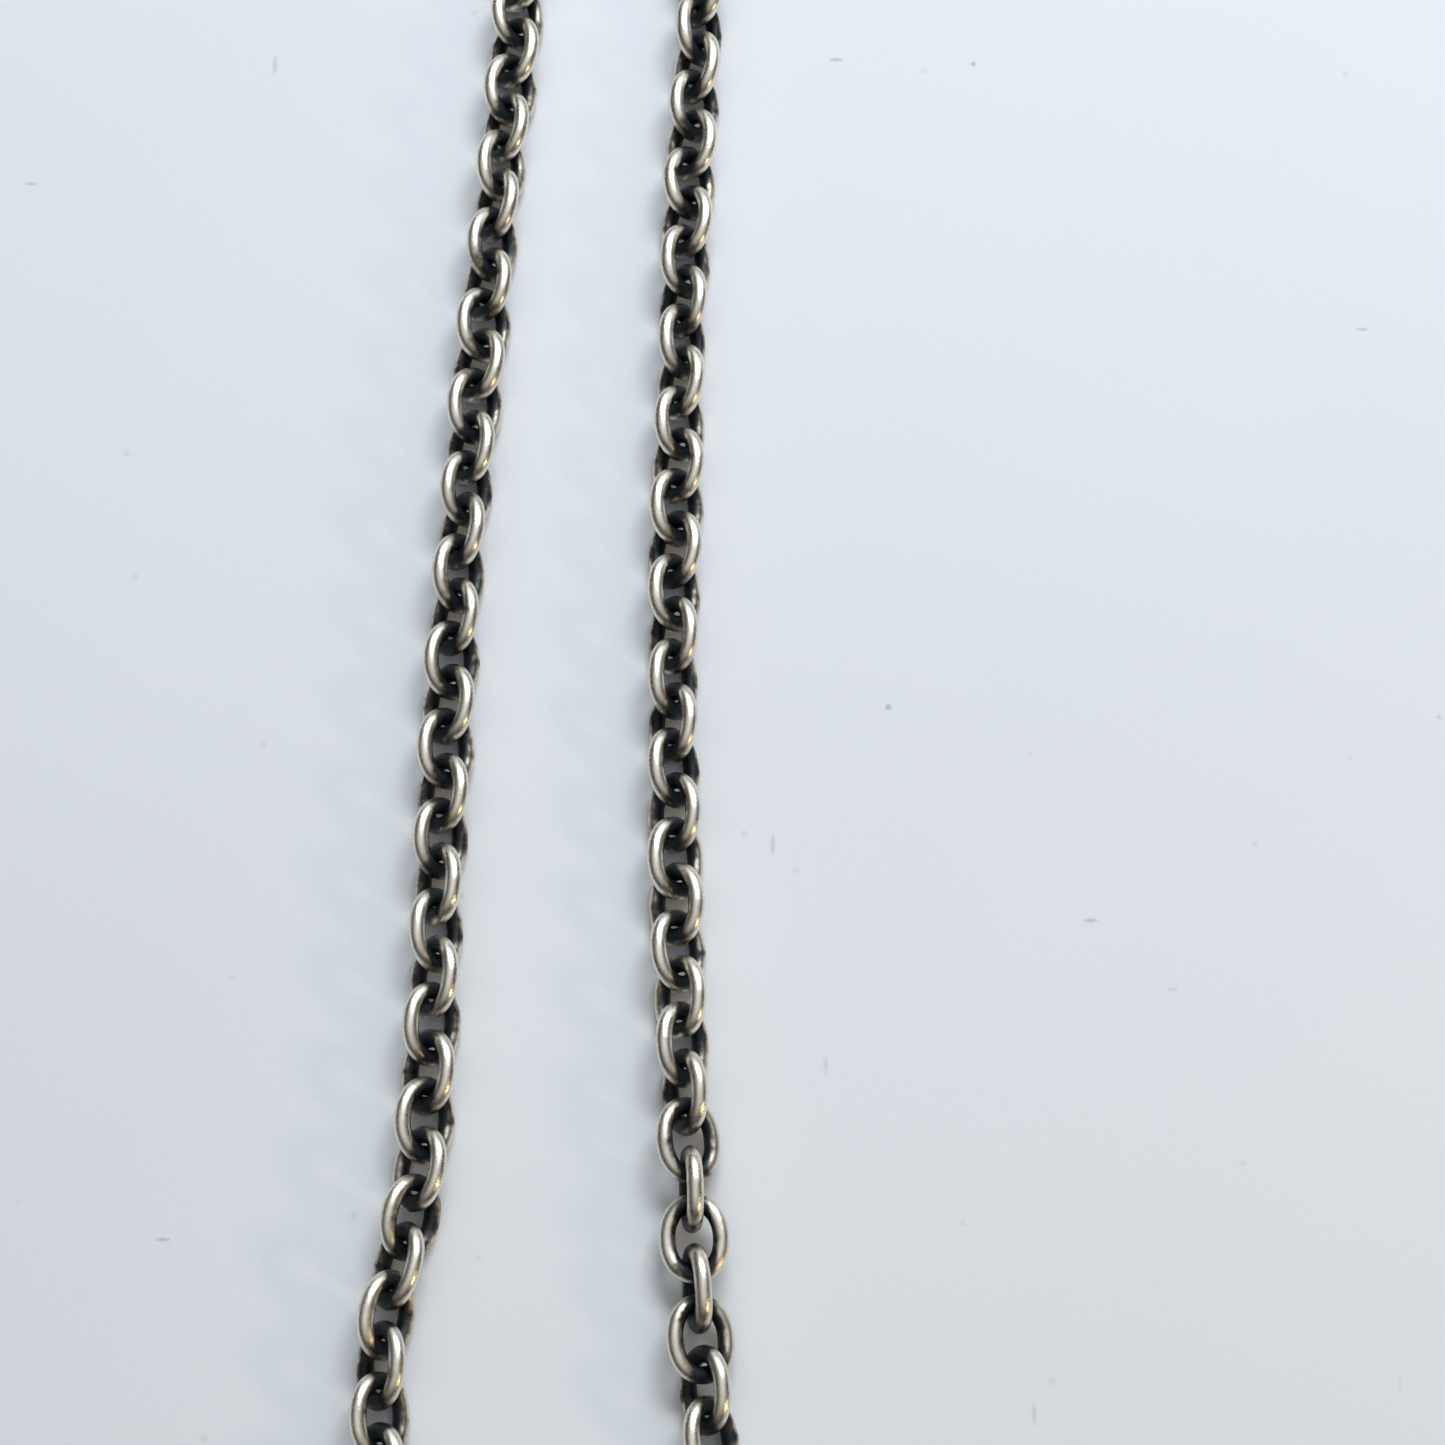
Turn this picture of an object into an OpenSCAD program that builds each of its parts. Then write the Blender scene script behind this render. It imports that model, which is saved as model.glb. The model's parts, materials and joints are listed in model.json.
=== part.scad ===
// Pendant necklace: an oval-link cable chain in round silver wire, lying open on a table,
// with a plain domed pendant on a bail and a lobster clasp. Millimetres, +Z up.
// The origin is the centre of the pendant's flat back, and the strands run towards -Y.

/* [Chain links] */
// Thickness of the round wire
wire_d = 1.0; // [0.95:0.01:1.02]
// Outside length of a link
link_length = 5.15; // [5.13:0.01:5.2]
// Outside width of a link
link_width = 4.2; // [4.1:0.05:4.3]
// Spacing of the links along the chain
link_pitch = 2.91; // [2.88:0.01:2.93]
// How far a link rolls from lying flat, to one side and then the other
link_roll = 45; // [42:1:48]
// How much the roll wanders from link to link, in degrees
roll_scatter = 5; // [0:1:6]
// How much a link points off the chain's line, in degrees
yaw_scatter = 1.5; // [0:0.5:2]

/* [Pendant] */
// Outside diameter of the pendant with its rim
pendant_d = 22; // [20:1:22]
// Thickness of the pendant's flat plate
plate_t = 1.4; // [1.2:0.1:1.6]
// How far the front domes above the plate
dome_rise = 1.2; // [0.8:0.1:1.6]
// Thickness of the rim wire
rim_wire_d = 2.0; // [1.8:0.1:2]
// Thickness of the bail's strip
bail_t = 0.8; // [0.7:0.05:0.8]
// Width of the bail where the chain runs through it
bail_w = 3.2; // [2.6:0.2:3.2]

/* [Clasp] */
// Wire of the jump rings
ring_wire_d = 0.9; // [0.8:0.05:0.9]
// Wire of the clasp's eye and of the end ring
eye_wire_d = 1.1; // [1:0.05:1.1]
// Radius of the hook, to the middle of its metal
hook_r = 3.0; // [3:0.05:3.1]
// Thickness of the hook
hook_t = 1.7; // [1.5:0.1:1.7]
// Thickness of the clasp's housing
housing_t = 3.2; // [3:0.1:3.3]

/* [Hidden] */
$fn = 48;
silver = [0.62, 0.60, 0.56];
dark_silver = [0.36, 0.35, 0.35];

segments = 20;            // hinged segments in each strand
links_per_segment = 4;
centre_links = 3;         // links in and beside the bail
gap = 0.24;               // slack between two linked wires

SEGMENT_NAMES = [for (side = ["left", "right"]) for (i = [1:segments]) segment_name(side, i)];

function segment_name(side, i) = str("chain_", side, "_", i < 10 ? "0" : "", i);

// ---- The line that the chain lies along, from the left end through the bail to the right end.
bail_at = [0, -22.9];
left_line = [[-86, -264], [-77, -254], [-67, -243], [-57, -232], [-47, -221], [-37, -209], [-27, -196],
    [-19, -182], [-14, -167],
    [-12.8, -156], [-12.8, -148.5], [-11.2, -141], [-10.6, -132], [-10.4, -120], [-10, -106],
    [-9.2, -92], [-8.2, -78], [-7, -62], [-6.5, -48], [-6.6, -37], [-6.6, -29.5], [-5.7, -26.2],
    [-3.3, -23.8]];
right_line = [[3.3, -23.8], [5.7, -26.2], [6.6, -29.5], [6.6, -37], [6.2, -48], [5.4, -62],
    [4.6, -78], [4.2, -92], [3.9, -106], [4.1, -120], [4.6, -132], [5.2, -141], [5.7, -149],
    [6.5, -156], [8.5, -166], [14, -181], [22.5, -195], [33, -208], [43, -220], [53, -231],
    [63, -242], [73, -253], [83, -264]];
line = concat(left_line, [bail_at], right_line);
steps = 10;               // points worked out between two of the line's own

// The direction of a smooth curve at b, between a and c, for a step of length d
function slope(a, b, c, d) =
    d * ((b - a) / norm(b - a) - (c - a) / (norm(b - a) + norm(c - b)) + (c - b) / norm(c - b));
function curve_point(a, b, c, e, t) =
    let (d = norm(c - b), m = slope(a, b, c, d), n = slope(b, c, e, d))
    (2 * t^3 - 3 * t^2 + 1) * b + (t^3 - 2 * t^2 + t) * m
    + (3 * t^2 - 2 * t^3) * c + (t^3 - t^2) * n;
path = [for (i = [1:len(line) - 3]) for (k = [0:steps - 1])
    curve_point(line[i - 1], line[i], line[i + 1], line[i + 2], k / steps)];
run = [for (i = 0, s = 0; i < len(path); s = s + norm(path[min(i + 1, len(path) - 1)] - path[i]),
    i = i + 1) s];
run_at_bail = run[(len(left_line) - 1) * steps];
run_x = [for (i = [0:len(path) - 1]) [run[i] - run_at_bail, path[i].x]];
run_y = [for (i = [0:len(path) - 1]) [run[i] - run_at_bail, path[i].y]];

// ---- Links are numbered from 0 in the bail, upwards to the right and downwards to the left.
side_links = segments * links_per_segment;
last_link = side_links + (centre_links - 1) / 2;
half_long = (link_length - wire_d) / 2;
half_wide = (link_width - wire_d) / 2;

slide = -0.85;            // the middle link sits this far along from the middle of the bail
bail_lift = 1.4;          // the chain climbs this much into the bail
bail_lift_reach = 8;
flat_link_at = 43;        // a twist here leaves one link flat and its neighbours on edge
twist_reach = 2.2;        // links over which the chain twists and comes back
end_twist_reach = 4;      // links over which it turns to meet the end rings
steady_reach = 4;         // links near the bail and the ends that don't wander
table_gap = 0.06;         // the links lie this far clear of the table

function bump(x, reach) = exp(-(x / reach) * (x / reach));
function twist(j) = link_roll * bump(j - flat_link_at, twist_reach)
    + link_roll * bump(last_link - j, end_twist_reach)
    + link_roll * bump(last_link + j, end_twist_reach);
function roll(j) = (j % 2 == 0 ? link_roll : -link_roll) + twist(j)
    + roll_scatter * sin(137 * j)
    * (1 - bump(last_link - abs(j), steady_reach)) * (1 - bump(j, steady_reach));
function lift(j) = bail_lift * bump(j * link_pitch, bail_lift_reach);
function reach_down(j) = max([for (k = [-1:1]) half_wide * abs(sin(roll(j + k)))]);
function height(j) = lift(j) + wire_d / 2 + table_gap
    + (reach_down(j - 2) + reach_down(j - 1) + 2 * reach_down(j) + reach_down(j + 1)
    + reach_down(j + 2)) / 6;

// The point between link j - 1 and link j, where they hinge
function joint_at(j) = let (s = (j - 0.5) * link_pitch + slide)
    [lookup(s, run_x), lookup(s, run_y), (height(j - 1) + height(j)) / 2];
function link_centre(j) = let (m = (joint_at(j) + joint_at(j + 1)) / 2) [m.x, m.y, height(j)];
function heading(j) = let (d = joint_at(j + 1) - joint_at(j)) atan2(d.y, d.x);
function climb(j) = atan2(lift(j + 0.5) - lift(j - 0.5), link_pitch);

// ---- The oval link: two straight wires between two half rings, as one solid
module half_ring(r, d) {
    rotate_extrude(angle = 180) translate([r, 0]) circle(d = d);
}

module oval_link() {
    straight = link_length - link_width;
    for (turn = [0, 180]) rotate([0, 0, turn]) {
        translate([straight / 2, 0, 0]) rotate([0, 0, -90]) half_ring(half_wide, wire_d);
        translate([-straight / 2, half_wide, 0]) rotate([0, 90, 0])
            cylinder(d = wire_d, h = straight);
    }
}

module chain_link(j) {
    translate(link_centre(j))
        rotate([0, 0, heading(j) + yaw_scatter * sin(99 * j + 40)])
            rotate([0, -climb(j), 0]) rotate([roll(j), 0, 0]) oval_link();
}

function first_link(side, i) = (side == "left" ? -1 : 1)
    * ((centre_links + 1) / 2 + (i - 1) * links_per_segment);

module chain_segment(side, i) {
    way = side == "left" ? -1 : 1;
    color(i % 2 == 0 ? silver : dark_silver)
        for (k = [0:links_per_segment - 1]) chain_link(first_link(side, i) + way * k);
}

module chain_centre() {
    color(silver) for (j = [-1:1]) chain_link(j);
}

// ---- Pendant
rim_r = (pendant_d - rim_wire_d) / 2;
disc_r = rim_r - rim_wire_d / 2;
loop_r = 1.6;             // soldered loop, to the middle of its wire
loop_wire_d = 1.0;
solder = 0.3;             // how far the loop sinks into the rim
loop_y = -(pendant_d / 2 + loop_r + loop_wire_d / 2 - solder);
jump_r = 2.2;
jump_y = loop_y - loop_r + (loop_wire_d + ring_wire_d) / 2 + gap - jump_r;
jump_z = 1.75;

module wire_ring(r, d) {
    rotate_extrude() translate([r, 0]) circle(d = d);
}

module wire_arc(r, from, to, d) {
    rotate([0, 0, from]) rotate_extrude(angle = to - from) translate([r, 0]) circle(d = d);
}

module pendant_disc() {
    dome_r = (disc_r * disc_r + dome_rise * dome_rise) / (2 * dome_rise);
    color(silver) {
        cylinder(r = disc_r, h = plate_t, $fn = 96);
        intersection() {
            translate([0, 0, plate_t + dome_rise - dome_r]) sphere(r = dome_r, $fn = 256);
            translate([0, 0, plate_t / 2]) cylinder(r = disc_r, h = 4, $fn = 96);
        }
    }
}

module pendant_rim() {
    color(dark_silver) translate([0, 0, rim_wire_d / 2]) wire_ring(rim_r, rim_wire_d, $fn = 96);
}

module pendant_loop() {
    color(dark_silver) translate([0, loop_y, loop_r + loop_wire_d / 2])
        rotate([0, 90, 0]) wire_ring(loop_r, loop_wire_d);
}

module pendant_jump_ring() {
    color(silver) translate([0, jump_y, jump_z]) wire_ring(jump_r, ring_wire_d);
}

// The bail is a strip bent to a pear shape: narrow round the jump ring, wide round the chain
small_r = 0.95;           // inside radius round the jump ring
big_r = 2.9;              // inside radius round the chain
small_y = jump_y - jump_r + ring_wire_d / 2 + gap - small_r;
small_z = small_r + bail_t;
big_y = -22.6;
big_z = big_r + bail_t;

// Two circles joined by their outer tangents, as one solid along X
module pear(r1, y1, z1, r2, y2, z2, w) {
    d = norm([y2 - y1, z2 - z1]);
    lean = atan2(z2 - z1, y2 - y1);
    open = acos((r1 - r2) / d);
    points = [for (c = [[r1, y1, z1, 1], [r1, y1, z1, -1], [r2, y2, z2, -1], [r2, y2, z2, 1]])
        [c[1] + c[0] * cos(lean + c[3] * open), c[2] + c[0] * sin(lean + c[3] * open)]];
    rotate([90, 0, 90]) translate([0, 0, -w / 2]) {
        translate([y1, z1]) cylinder(r = r1, h = w);
        translate([y2, z2]) cylinder(r = r2, h = w);
        linear_extrude(w) polygon(points);
    }
}

module bail() {
    narrow = 0.5;         // half the width of the strip inside the jump ring
    taper_to = big_y + 1.5;
    color(silver) intersection() {
        difference() {
            pear(small_r + bail_t, small_y, small_z, big_r + bail_t, big_y, big_z, bail_w + 2);
            pear(small_r, small_y, small_z, big_r, big_y, big_z, bail_w + 4);
        }
        linear_extrude(20, center = true) polygon([[-narrow, 0], [narrow, 0],
            [narrow, small_y], [bail_w / 2, taper_to], [bail_w / 2, big_y - 10],
            [-bail_w / 2, big_y - 10], [-bail_w / 2, taper_to], [-narrow, small_y]]);
    }
}

// ---- The two ends. Each is drawn with +X outwards from the chain's last hinge point.
end_ring_z = 1.75;        // height of the clasp's middle and of the end ring
jump2_r = 1.75;           // the jump rings at the ends stand on edge
jump2_x = half_long - link_pitch / 2 - (wire_d + ring_wire_d) / 2 - gap + jump2_r;
eye_x = jump2_x + jump2_r - (ring_wire_d + eye_wire_d) / 2 - gap;

module at_end(side) {
    way = side == "left" ? -1 : 1;
    j = way * last_link;
    out = side == "left" ? joint_at(j) : joint_at(j + 1);
    translate([out.x, out.y, 0])
        rotate([0, 0, heading(j) + (side == "left" ? 180 : 0)]) children();
}

module standing_ring(side) {
    at_end(side) translate([jump2_x, 0, jump2_r + ring_wire_d / 2])
        rotate([90, 0, 0]) wire_ring(jump2_r, ring_wire_d);
}

module clasp_jump_ring() { color(silver) standing_ring("left"); }
module end_jump_ring() { color(silver) standing_ring("right"); }

module end_ring() {
    end_ring_r = 2.4;
    color(silver) at_end("right") translate([eye_x + end_ring_r, 0, end_ring_z])
        wire_ring(end_ring_r, eye_wire_d);
}

// Lobster clasp, drawn about the middle of its eye
eye_r = 1.6;
housing_x = 5.2;
housing_r = 2.6;
hook_x = 9.6;
pivot = [5.8, 1.5];
pin_r = 0.38;
slot_t = 1.5;
lever_t = 1.2;
hook_tip = 68;            // the hook runs from the housing round to this angle
tip_ball_d = hook_t + 0.1;
tip_at = [hook_x + hook_r * cos(hook_tip), hook_r * sin(hook_tip)];
lever_reach = norm(tip_at - pivot) - tip_ball_d / 2 - 0.08;

module at_clasp() {
    at_end("left") translate([eye_x + eye_r, 0, end_ring_z]) children();
}

module clasp_body() {
    color(silver) at_clasp() difference() {
        union() {
            wire_ring(eye_r, eye_wire_d);
            translate([eye_r, 0, 0]) rotate([0, 90, 0]) cylinder(r1 = 0.8, r2 = 1.3, h = 2);
            translate([housing_x, 0, -housing_t / 2]) cylinder(r = housing_r, h = housing_t);
            translate([hook_x, 0, 0]) {
                wire_arc(hook_r, -155, hook_tip, hook_t);
                rotate([0, 0, hook_tip]) translate([hook_r, 0, 0]) sphere(d = tip_ball_d);
            }
        }
        translate([3.7, 0.3, -slot_t / 2]) cube([6, 6, slot_t]);
        translate([pivot.x, pivot.y, -5]) cylinder(r = pin_r + 0.02, h = 10);
    }
}

module clasp_pin() {
    color(dark_silver) at_clasp() translate([pivot.x, pivot.y, -housing_t / 2])
        cylinder(r = pin_r, h = housing_t);
}

module clasp_spring() {
    coil_wire_d = 0.24;
    coil_r = 0.62;
    coil_h = 0.46;
    color(dark_silver) at_clasp() translate([pivot.x, pivot.y, -0.64]) {
        difference() {
            cylinder(r = coil_r + coil_wire_d / 2, h = coil_h);
            translate([0, 0, -1]) cylinder(r = coil_r - coil_wire_d / 2, h = coil_h + 2);
        }
        for (side = [-1, 1]) translate([side * coil_r, 0, coil_h / 2])
            rotate([90, 0, 0]) cylinder(d = coil_wire_d - 0.02, h = 1.15);
    }
}

module clasp_lever() {
    bar_t = 1.2;
    color(silver) at_clasp() difference() {
        union() {
            translate([pivot.x, pivot.y, -0.1]) cylinder(r = 0.95, h = lever_t / 2 + 0.1);
            translate([pivot.x, pivot.y - 0.5, -0.1]) cube([1.6, 1, lever_t / 2 + 0.1]);
            intersection() {
                translate([hook_x, 0, 0]) wire_arc(hook_r, hook_tip + 10, 150, bar_t);
                translate([pivot.x, pivot.y, -5]) cylinder(r = lever_reach, h = 10);
            }
            translate([pivot.x, pivot.y, 0.25]) rotate([0, 90, 123]) {
                cylinder(d = 0.7, h = 2.6);
                translate([0, 0, 2.6]) sphere(d = 1.2);
            }
        }
        translate([pivot.x, pivot.y, -5]) cylinder(r = pin_r + 0.07, h = 10);
    }
}

pendant_disc();
pendant_rim();
pendant_loop();
pendant_jump_ring();
bail();
chain_centre();
for (side = ["left", "right"], i = [1:segments])
    chain_segment(side, i);
clasp_jump_ring();
clasp_body();
clasp_pin();
clasp_spring();
clasp_lever();
end_jump_ring();
end_ring();
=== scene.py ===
# %% [markdown]
# # A blackened silver pendant necklace
# The necklace lies open on a sheet of paper. Nearly all of it is chain: oval links bent from
# round wire, blackened and then rubbed bright where they stand proud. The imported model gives
# the place of every link, ring and fitting. This lesson rebuilds each one as a finished mesh
# on exactly that place, so that it still moves with the same body.

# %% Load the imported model
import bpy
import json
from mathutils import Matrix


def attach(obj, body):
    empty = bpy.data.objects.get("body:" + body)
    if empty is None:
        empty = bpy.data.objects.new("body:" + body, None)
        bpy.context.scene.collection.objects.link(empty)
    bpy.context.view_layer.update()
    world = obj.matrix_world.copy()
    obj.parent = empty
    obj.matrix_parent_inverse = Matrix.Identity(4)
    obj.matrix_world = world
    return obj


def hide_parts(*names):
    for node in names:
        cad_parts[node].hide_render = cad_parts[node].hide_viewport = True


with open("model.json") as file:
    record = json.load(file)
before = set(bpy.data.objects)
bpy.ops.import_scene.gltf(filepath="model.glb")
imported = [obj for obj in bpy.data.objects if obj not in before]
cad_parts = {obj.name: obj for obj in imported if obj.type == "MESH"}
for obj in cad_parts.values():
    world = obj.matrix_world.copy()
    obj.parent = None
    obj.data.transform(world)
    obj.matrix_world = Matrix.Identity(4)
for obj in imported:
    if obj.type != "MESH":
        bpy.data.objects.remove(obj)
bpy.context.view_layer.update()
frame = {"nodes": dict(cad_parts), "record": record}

import json
import math
import bpy
import numpy as np
from mathutils import Vector
from mathutils.bvhtree import BVHTree

MM = 0.001
nodes = frame["nodes"]
body_of = {node: body for body, held in frame["record"]["behaviour"]["bodies"].items()
           for node in held}

# %% [markdown]
# ## Camera
# A chain is looked at closely, so the camera stands only a hand's breadth above the two
# strands. It leans back 18 degrees from straight down, which makes the far links smaller.
# A 70 mm lens keeps that shrinking gentle.

# %% Camera
LOOK_AT = Vector((7.0, -111.4, 2.0)) * MM
LEAN = math.radians(18.03)
DISTANCE = 176.4 * MM

camera_data = bpy.data.cameras.new("camera")
camera_data.lens = 70.5
camera_data.sensor_width = 36
camera_data.clip_start = 0.01
camera_data.clip_end = 20
camera = bpy.data.objects.new("camera", camera_data)
camera.location = LOOK_AT + DISTANCE * Vector((0, -math.sin(LEAN), math.cos(LEAN)))
camera.rotation_euler = (LEAN, 0, 0)
bpy.context.scene.collection.objects.link(camera)
bpy.context.scene.camera = camera
print("camera at", [round(c, 4) for c in camera.location])

# %% [markdown]
# ## A small kit for node materials
# Every finish below is a chain of procedural nodes. Three short helpers keep each recipe
# readable: one makes a node and wires its inputs, one makes a colour ramp, and one starts a
# material with its shader.

# %% Material helpers
def add_node(tree, kind, inputs=None, **settings):
    made = tree.nodes.new(kind)
    for name, value in settings.items():
        setattr(made, name, value)
    for key, value in (inputs or {}).items():
        if isinstance(value, bpy.types.NodeSocket):
            tree.links.new(value, made.inputs[key])
        else:
            made.inputs[key].default_value = value
    return made


def maths(tree, operation, a, b=0.0, clamp=False):
    made = add_node(tree, "ShaderNodeMath", {0: a, 1: b}, operation=operation, use_clamp=clamp)
    return made.outputs[0]


def ramp(tree, factor, stops, smooth=False):
    made = add_node(tree, "ShaderNodeValToRGB", {"Fac": factor})
    made.color_ramp.interpolation = "EASE" if smooth else "LINEAR"
    elements = made.color_ramp.elements
    while len(elements) < len(stops):
        elements.new(0.5)
    for element, (place, colour) in zip(elements, stops):
        element.position = place
        element.color = (*colour, 1) if len(colour) == 3 else (colour[0],) * 3 + (1,)
    return made.outputs["Color"]


def noise(tree, vector, scale, detail=3.0, roughness=0.55):
    made = add_node(tree, "ShaderNodeTexNoise", {
        "Vector": vector, "Scale": scale, "Detail": detail, "Roughness": roughness})
    return made.outputs["Fac"]


def new_material(name):
    material = bpy.data.materials.new(name)
    material.use_nodes = True
    tree = material.node_tree
    return material, tree, tree.nodes["Principled BSDF"]


# %% [markdown]
# ## Paper
# The table is covered with smooth paper. Light falls off towards the front of the sheet, and
# a close look finds the paper's own fine tooth, a few dark specks and a hint of blue from
# the sky outside.

# %% Paper floor
# Each layer of specks: cells per metre, stretch, turn, size in a cell, how rare, how dark
SPECKS = [(110, (1, 1, 1), 0.0, 0.034, 0.60, 0.5), (70, (1, 3.2, 1), 0.9, 0.042, 0.62, 0.34),
          (260, (1, 1, 1), 0.3, 0.08, 0.80, 0.12), (55, (4, 1, 1), 0.5, 0.050, 0.66, 0.22)]


def paper_material():
    material, tree, shader = new_material("paper")
    place = add_node(tree, "ShaderNodeTexCoord").outputs["Object"]
    cloud = noise(tree, place, 14, 4)
    tooth = noise(tree, place, 2600, 4, 0.7)
    fibre_way = add_node(tree, "ShaderNodeMapping", {
        "Vector": place, "Scale": (900, 260, 1), "Rotation": (0, 0, 0.6)}).outputs[0]
    fibre = noise(tree, fibre_way, 1, 3)
    tone = ramp(tree, cloud, [(0.3, (0.750, 0.780, 0.812)), (0.7, (0.780, 0.806, 0.836))])
    colour = tone
    for scale, stretch, turn, size, rare, depth in SPECKS:
        way = add_node(tree, "ShaderNodeMapping", {
            "Vector": place, "Scale": stretch, "Rotation": (0, 0, turn)}).outputs[0]
        cells = add_node(tree, "ShaderNodeTexVoronoi", {"Vector": way, "Scale": scale})
        pick = add_node(tree, "ShaderNodeSeparateColor", {
            "Color": cells.outputs["Color"]}).outputs["Red"]
        near = ramp(tree, cells.outputs["Distance"], [(size / 2, (depth,)), (size, (0,))])
        chosen = maths(tree, "GREATER_THAN", pick, rare)
        colour = add_node(tree, "ShaderNodeMix", {
            "Factor": maths(tree, "MULTIPLY", near, chosen), "A": colour,
            "B": (0.16, 0.16, 0.17, 1)}, data_type="RGBA").outputs["Result"]
    tree.links.new(colour, shader.inputs["Base Color"])
    shader.inputs["Roughness"].default_value = 0.85
    shader.inputs["Specular IOR Level"].default_value = 0.3
    height = maths(tree, "ADD", tooth, maths(tree, "MULTIPLY", fibre, 0.6))
    bump = add_node(tree, "ShaderNodeBump", {
        "Height": height, "Strength": 0.45, "Distance": 0.00003})
    tree.links.new(bump.outputs[0], shader.inputs["Normal"])
    return material


bpy.ops.mesh.primitive_plane_add(size=6, location=(0, -0.12, 0))
floor = bpy.context.object
floor.name = "paper_floor"
floor.data.materials.append(paper_material())
print("paper floor laid at z = 0")

# %% [markdown]
# ## Light
# Polished wire shows its surroundings, so the lights are chosen for what the metal will
# reflect. A small window stands above and beyond the necklace. It draws the bright band down
# the crest of each link, and the sheet darkens away from it. The pale wall beside it is wide
# and dim, and softens the shadows. The room stays dark at the horizon so that the sides of
# the wire go dark. A small warm lamp low on the right leaves the tiny gold glints.

# %% World and lamps
def dim_room():
    world = bpy.data.worlds.new("room")
    bpy.context.scene.world = world
    world.use_nodes = True
    tree = world.node_tree
    way = add_node(tree, "ShaderNodeTexCoord").outputs["Generated"]
    up = add_node(tree, "ShaderNodeSeparateXYZ", {"Vector": way}).outputs["Z"]
    sky = ramp(tree, up, [(0.0, (0.03, 0.03, 0.03)), (0.50, (0.05, 0.05, 0.05)),
                          (0.78, (0.42, 0.42, 0.42)), (1.0, (0.92, 0.93, 0.95))], True)
    tree.links.new(sky, tree.nodes["Background"].inputs["Color"])
    tree.nodes["Background"].inputs["Strength"].default_value = 0.84


def soft_lamp(name, place, size, power, colour, aim=LOOK_AT):
    data = bpy.data.lights.new(name, "AREA")
    data.shape = "RECTANGLE"
    data.size, data.size_y = size
    data.energy = power
    data.color = colour
    lamp = bpy.data.objects.new(name, data)
    lamp.location = place
    lamp.rotation_euler = (aim - Vector(place)).to_track_quat("-Z", "Y").to_euler()
    bpy.context.scene.collection.objects.link(lamp)
    return lamp


dim_room()
soft_lamp("window", (0.08, 0.11, 0.32), (0.22, 0.12), 0.95, (0.88, 0.945, 1.0))
soft_lamp("far_wall", (0.14, 0.32, 0.34), (0.80, 0.45), 1.17, (0.86, 0.935, 1.0))
soft_lamp("warm_lamp", (0.34, -0.34, 0.17), (0.05, 0.05), 0.30, (1.0, 0.70, 0.38))
bpy.context.scene.view_settings.view_transform = "Standard"
print("window, lamp and dim room ready")

# %% [markdown]
# ## Blackened silver
# The chain was dipped to blacken it and then tumbled and worn. Metal that stands proud has
# gone back to warm bright silver with hairline scratches. The insides of the links and the
# places where they cross keep a blue-black skin, and between the two runs a brown tarnish.
# Three numbers are stored on each mesh point: how sheltered it is, where the solder seam is,
# and a tone of its own for each link. On the links, shelter also holds painted shade on the
# side towards the table. The shader turns shelter into colour, so the wear and that painted
# shade belong to the shape and not to the viewpoint.

# %% The silver finish
def stirred(tree, base, pattern, middle, amount):
    """A value that a pattern swings up and down about the pattern's own middle."""
    swing = maths(tree, "SUBTRACT", pattern, middle)
    return maths(tree, "ADD", base, maths(tree, "MULTIPLY", swing, amount))


def blackened_silver(name, worn, sheen=0.27, scratch_scale=(260, 18), wear=0.0):
    material, tree, shader = new_material(name)
    place = add_node(tree, "ShaderNodeTexCoord").outputs["Object"]
    along = add_node(tree, "ShaderNodeUVMap", uv_map="wire").outputs["UV"]
    shelter = add_node(tree, "ShaderNodeAttribute", attribute_name="shelter").outputs["Fac"]
    seam = add_node(tree, "ShaderNodeAttribute", attribute_name="seam").outputs["Fac"]
    tone = add_node(tree, "ShaderNodeAttribute", attribute_name="tone").outputs["Fac"]

    blotch = noise(tree, place, 700, 4, 0.6)
    grain = noise(tree, place, 3800, 3, 0.6)
    scratch_way = add_node(tree, "ShaderNodeMapping", {
        "Vector": along, "Scale": (scratch_scale[1], scratch_scale[0], 1)}).outputs[0]
    scratches = noise(tree, scratch_way, 1, 3, 0.65)

    # shelter is tarnish, and on the links it also holds painted shade on the underside
    dark = stirred(tree, shelter, blotch, 0.47, 0.95)
    dark = stirred(tree, dark, scratches, 0.5, 0.22)
    dark = stirred(tree, dark, tone, 0.5, 0.16)
    dark = maths(tree, "ADD", dark, maths(tree, "MULTIPLY", seam, 0.12))
    dark = maths(tree, "SUBTRACT", dark, wear, True)
    colour = ramp(tree, dark, [
        (0.00, worn), (0.27, tuple(0.84 * c for c in worn)), (0.38, (0.44, 0.385, 0.30)),
        (0.47, (0.130, 0.115, 0.102)), (0.58, (0.034, 0.039, 0.043)), (1.0, (0.006, 0.007, 0.008))])
    tree.links.new(colour, shader.inputs["Base Color"])
    metal = ramp(tree, dark, [(0.50, (1,)), (0.75, (0.4,))])
    tree.links.new(metal, shader.inputs["Metallic"])
    shader.inputs["Specular IOR Level"].default_value = 0.18
    rough = ramp(tree, dark, [(0.0, (sheen,)), (0.4, (sheen + 0.08,)), (0.65, (0.40,)),
                              (1.0, (0.52,))])
    tree.links.new(stirred(tree, rough, grain, 0.5, 0.18), shader.inputs["Roughness"])
    height = maths(tree, "ADD", maths(tree, "MULTIPLY", scratches, 0.45), maths(
        tree, "MULTIPLY", grain, 0.25))
    height = maths(tree, "ADD", height, maths(tree, "MULTIPLY", blotch, 0.9))
    bump = add_node(tree, "ShaderNodeBump", {
        "Height": height, "Strength": 0.45, "Distance": 0.00003})
    tree.links.new(bump.outputs[0], shader.inputs["Normal"])
    return material


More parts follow.
